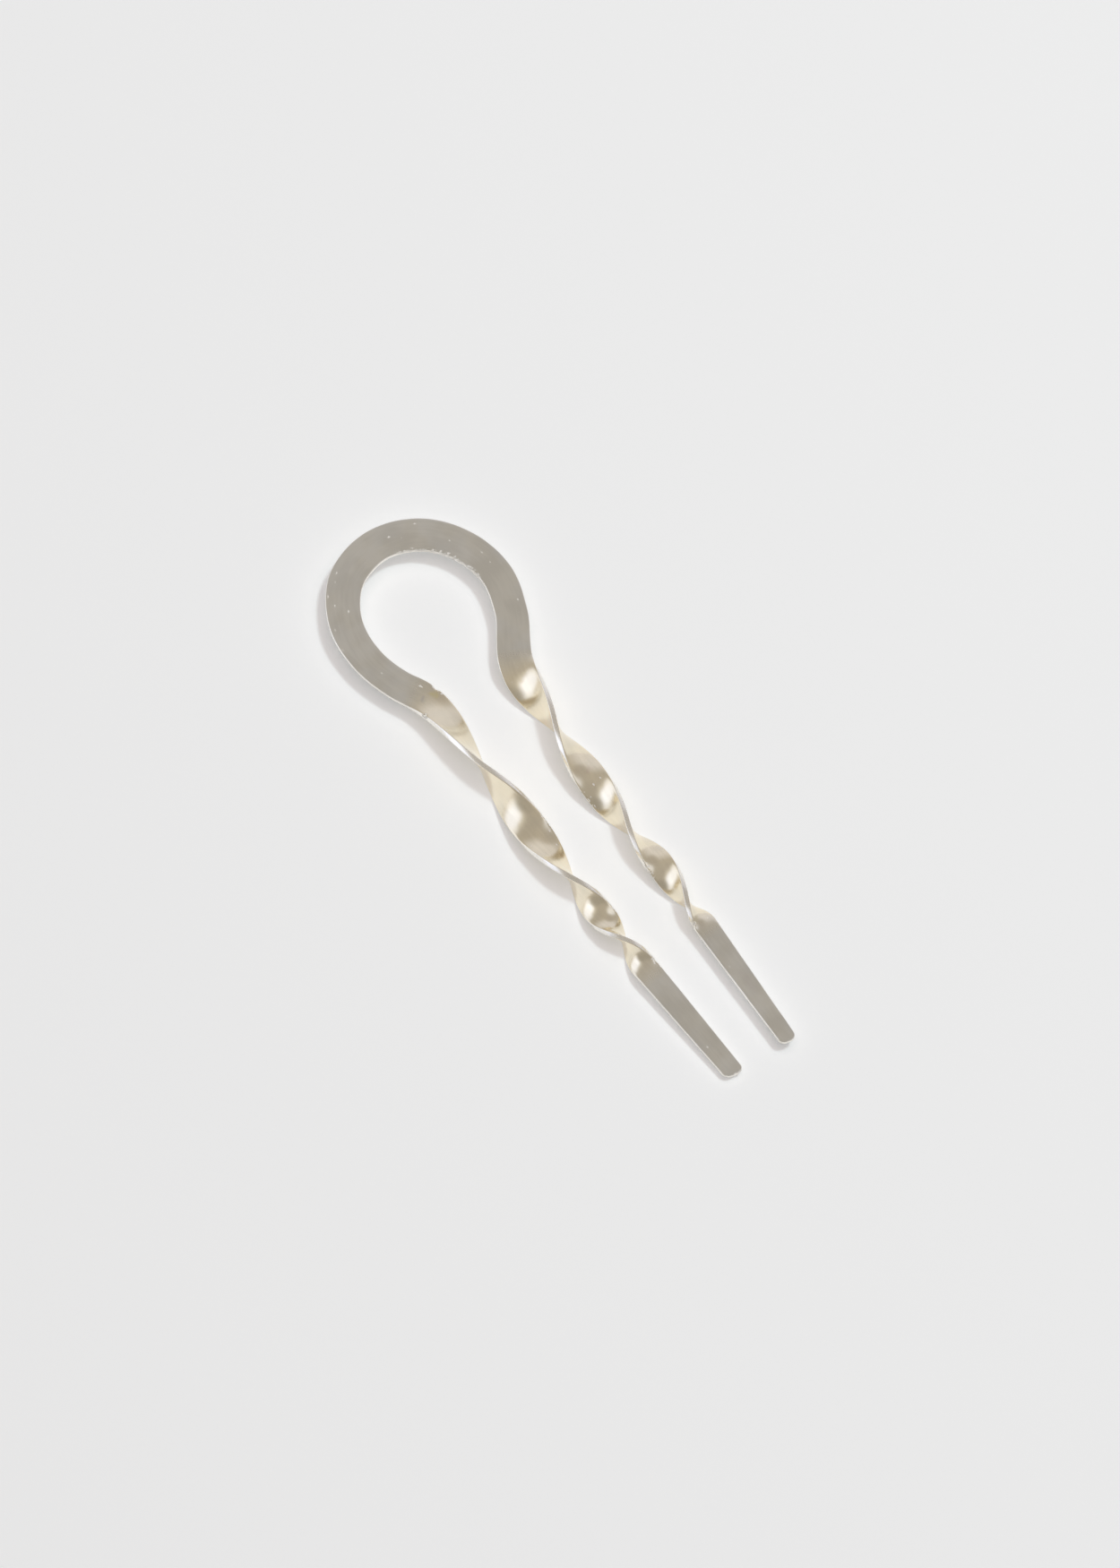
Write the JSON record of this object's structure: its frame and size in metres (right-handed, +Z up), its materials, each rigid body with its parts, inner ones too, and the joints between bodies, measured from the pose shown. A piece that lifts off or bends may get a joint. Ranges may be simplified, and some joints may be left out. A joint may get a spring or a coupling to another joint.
{
  "type": "spiral bun pin",
  "caption": "Hairpin bent from a flat metal strip: open horseshoe head, spiral-twisted legs and flat tapered tips, pushed into a bun of hair to hold it.",
  "frame": {"origin": "on the surface the pin lies on, under the middle of its box", "axes": "+Y from the tips to the head, +X to the right as seen from above with the head at the top, +Z up off the surface"},
  "size_m": [0.034, 0.119, 0.0063],
  "materials": {
    "nickel_silver": "satin, finely brushed warm grey metal with small nicks and pits, brighter on worn edges"
  },
  "bodies": {
    "root": {"bun_pin": "nickel_silver"}
  },
  "joints": []
}
